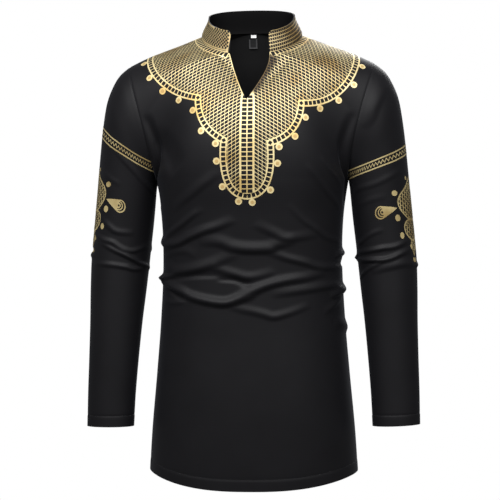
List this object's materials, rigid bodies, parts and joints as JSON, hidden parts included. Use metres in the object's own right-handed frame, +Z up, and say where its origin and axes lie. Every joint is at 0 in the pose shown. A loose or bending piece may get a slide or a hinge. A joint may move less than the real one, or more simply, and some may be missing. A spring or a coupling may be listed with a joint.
{
  "type": "dashiki shirt",
  "caption": "Hollow worn long-sleeve tunic shirt with a stand collar, open neck slit, set-in sleeves and a curved hem.",
  "frame": {"origin": "midway between the high points of the two shoulders, where a wearer carries the shirt", "axes": "+Z up, the front faces -Y, +X toward the wearer's left sleeve"},
  "size_m": [0.597, 0.2543, 0.855],
  "materials": {
    "shirt_cloth": "smooth black stretch cloth with a soft satin sheen, gold foil print added in the looks",
    "collar_cloth": "two layers of the same black cloth with a stiffener, gold foil print added in the looks",
    "label_weave": "blank dark woven label",
    "tab_weave": "blank pale woven tab"
  },
  "bodies": {
    "root": {"front": "shirt_cloth", "back": "shirt_cloth", "sleeve_left": "shirt_cloth", "sleeve_right": "shirt_cloth", "collar": "collar_cloth", "neck_label": "label_weave", "size_tab": "tab_weave"}
  },
  "joints": []
}
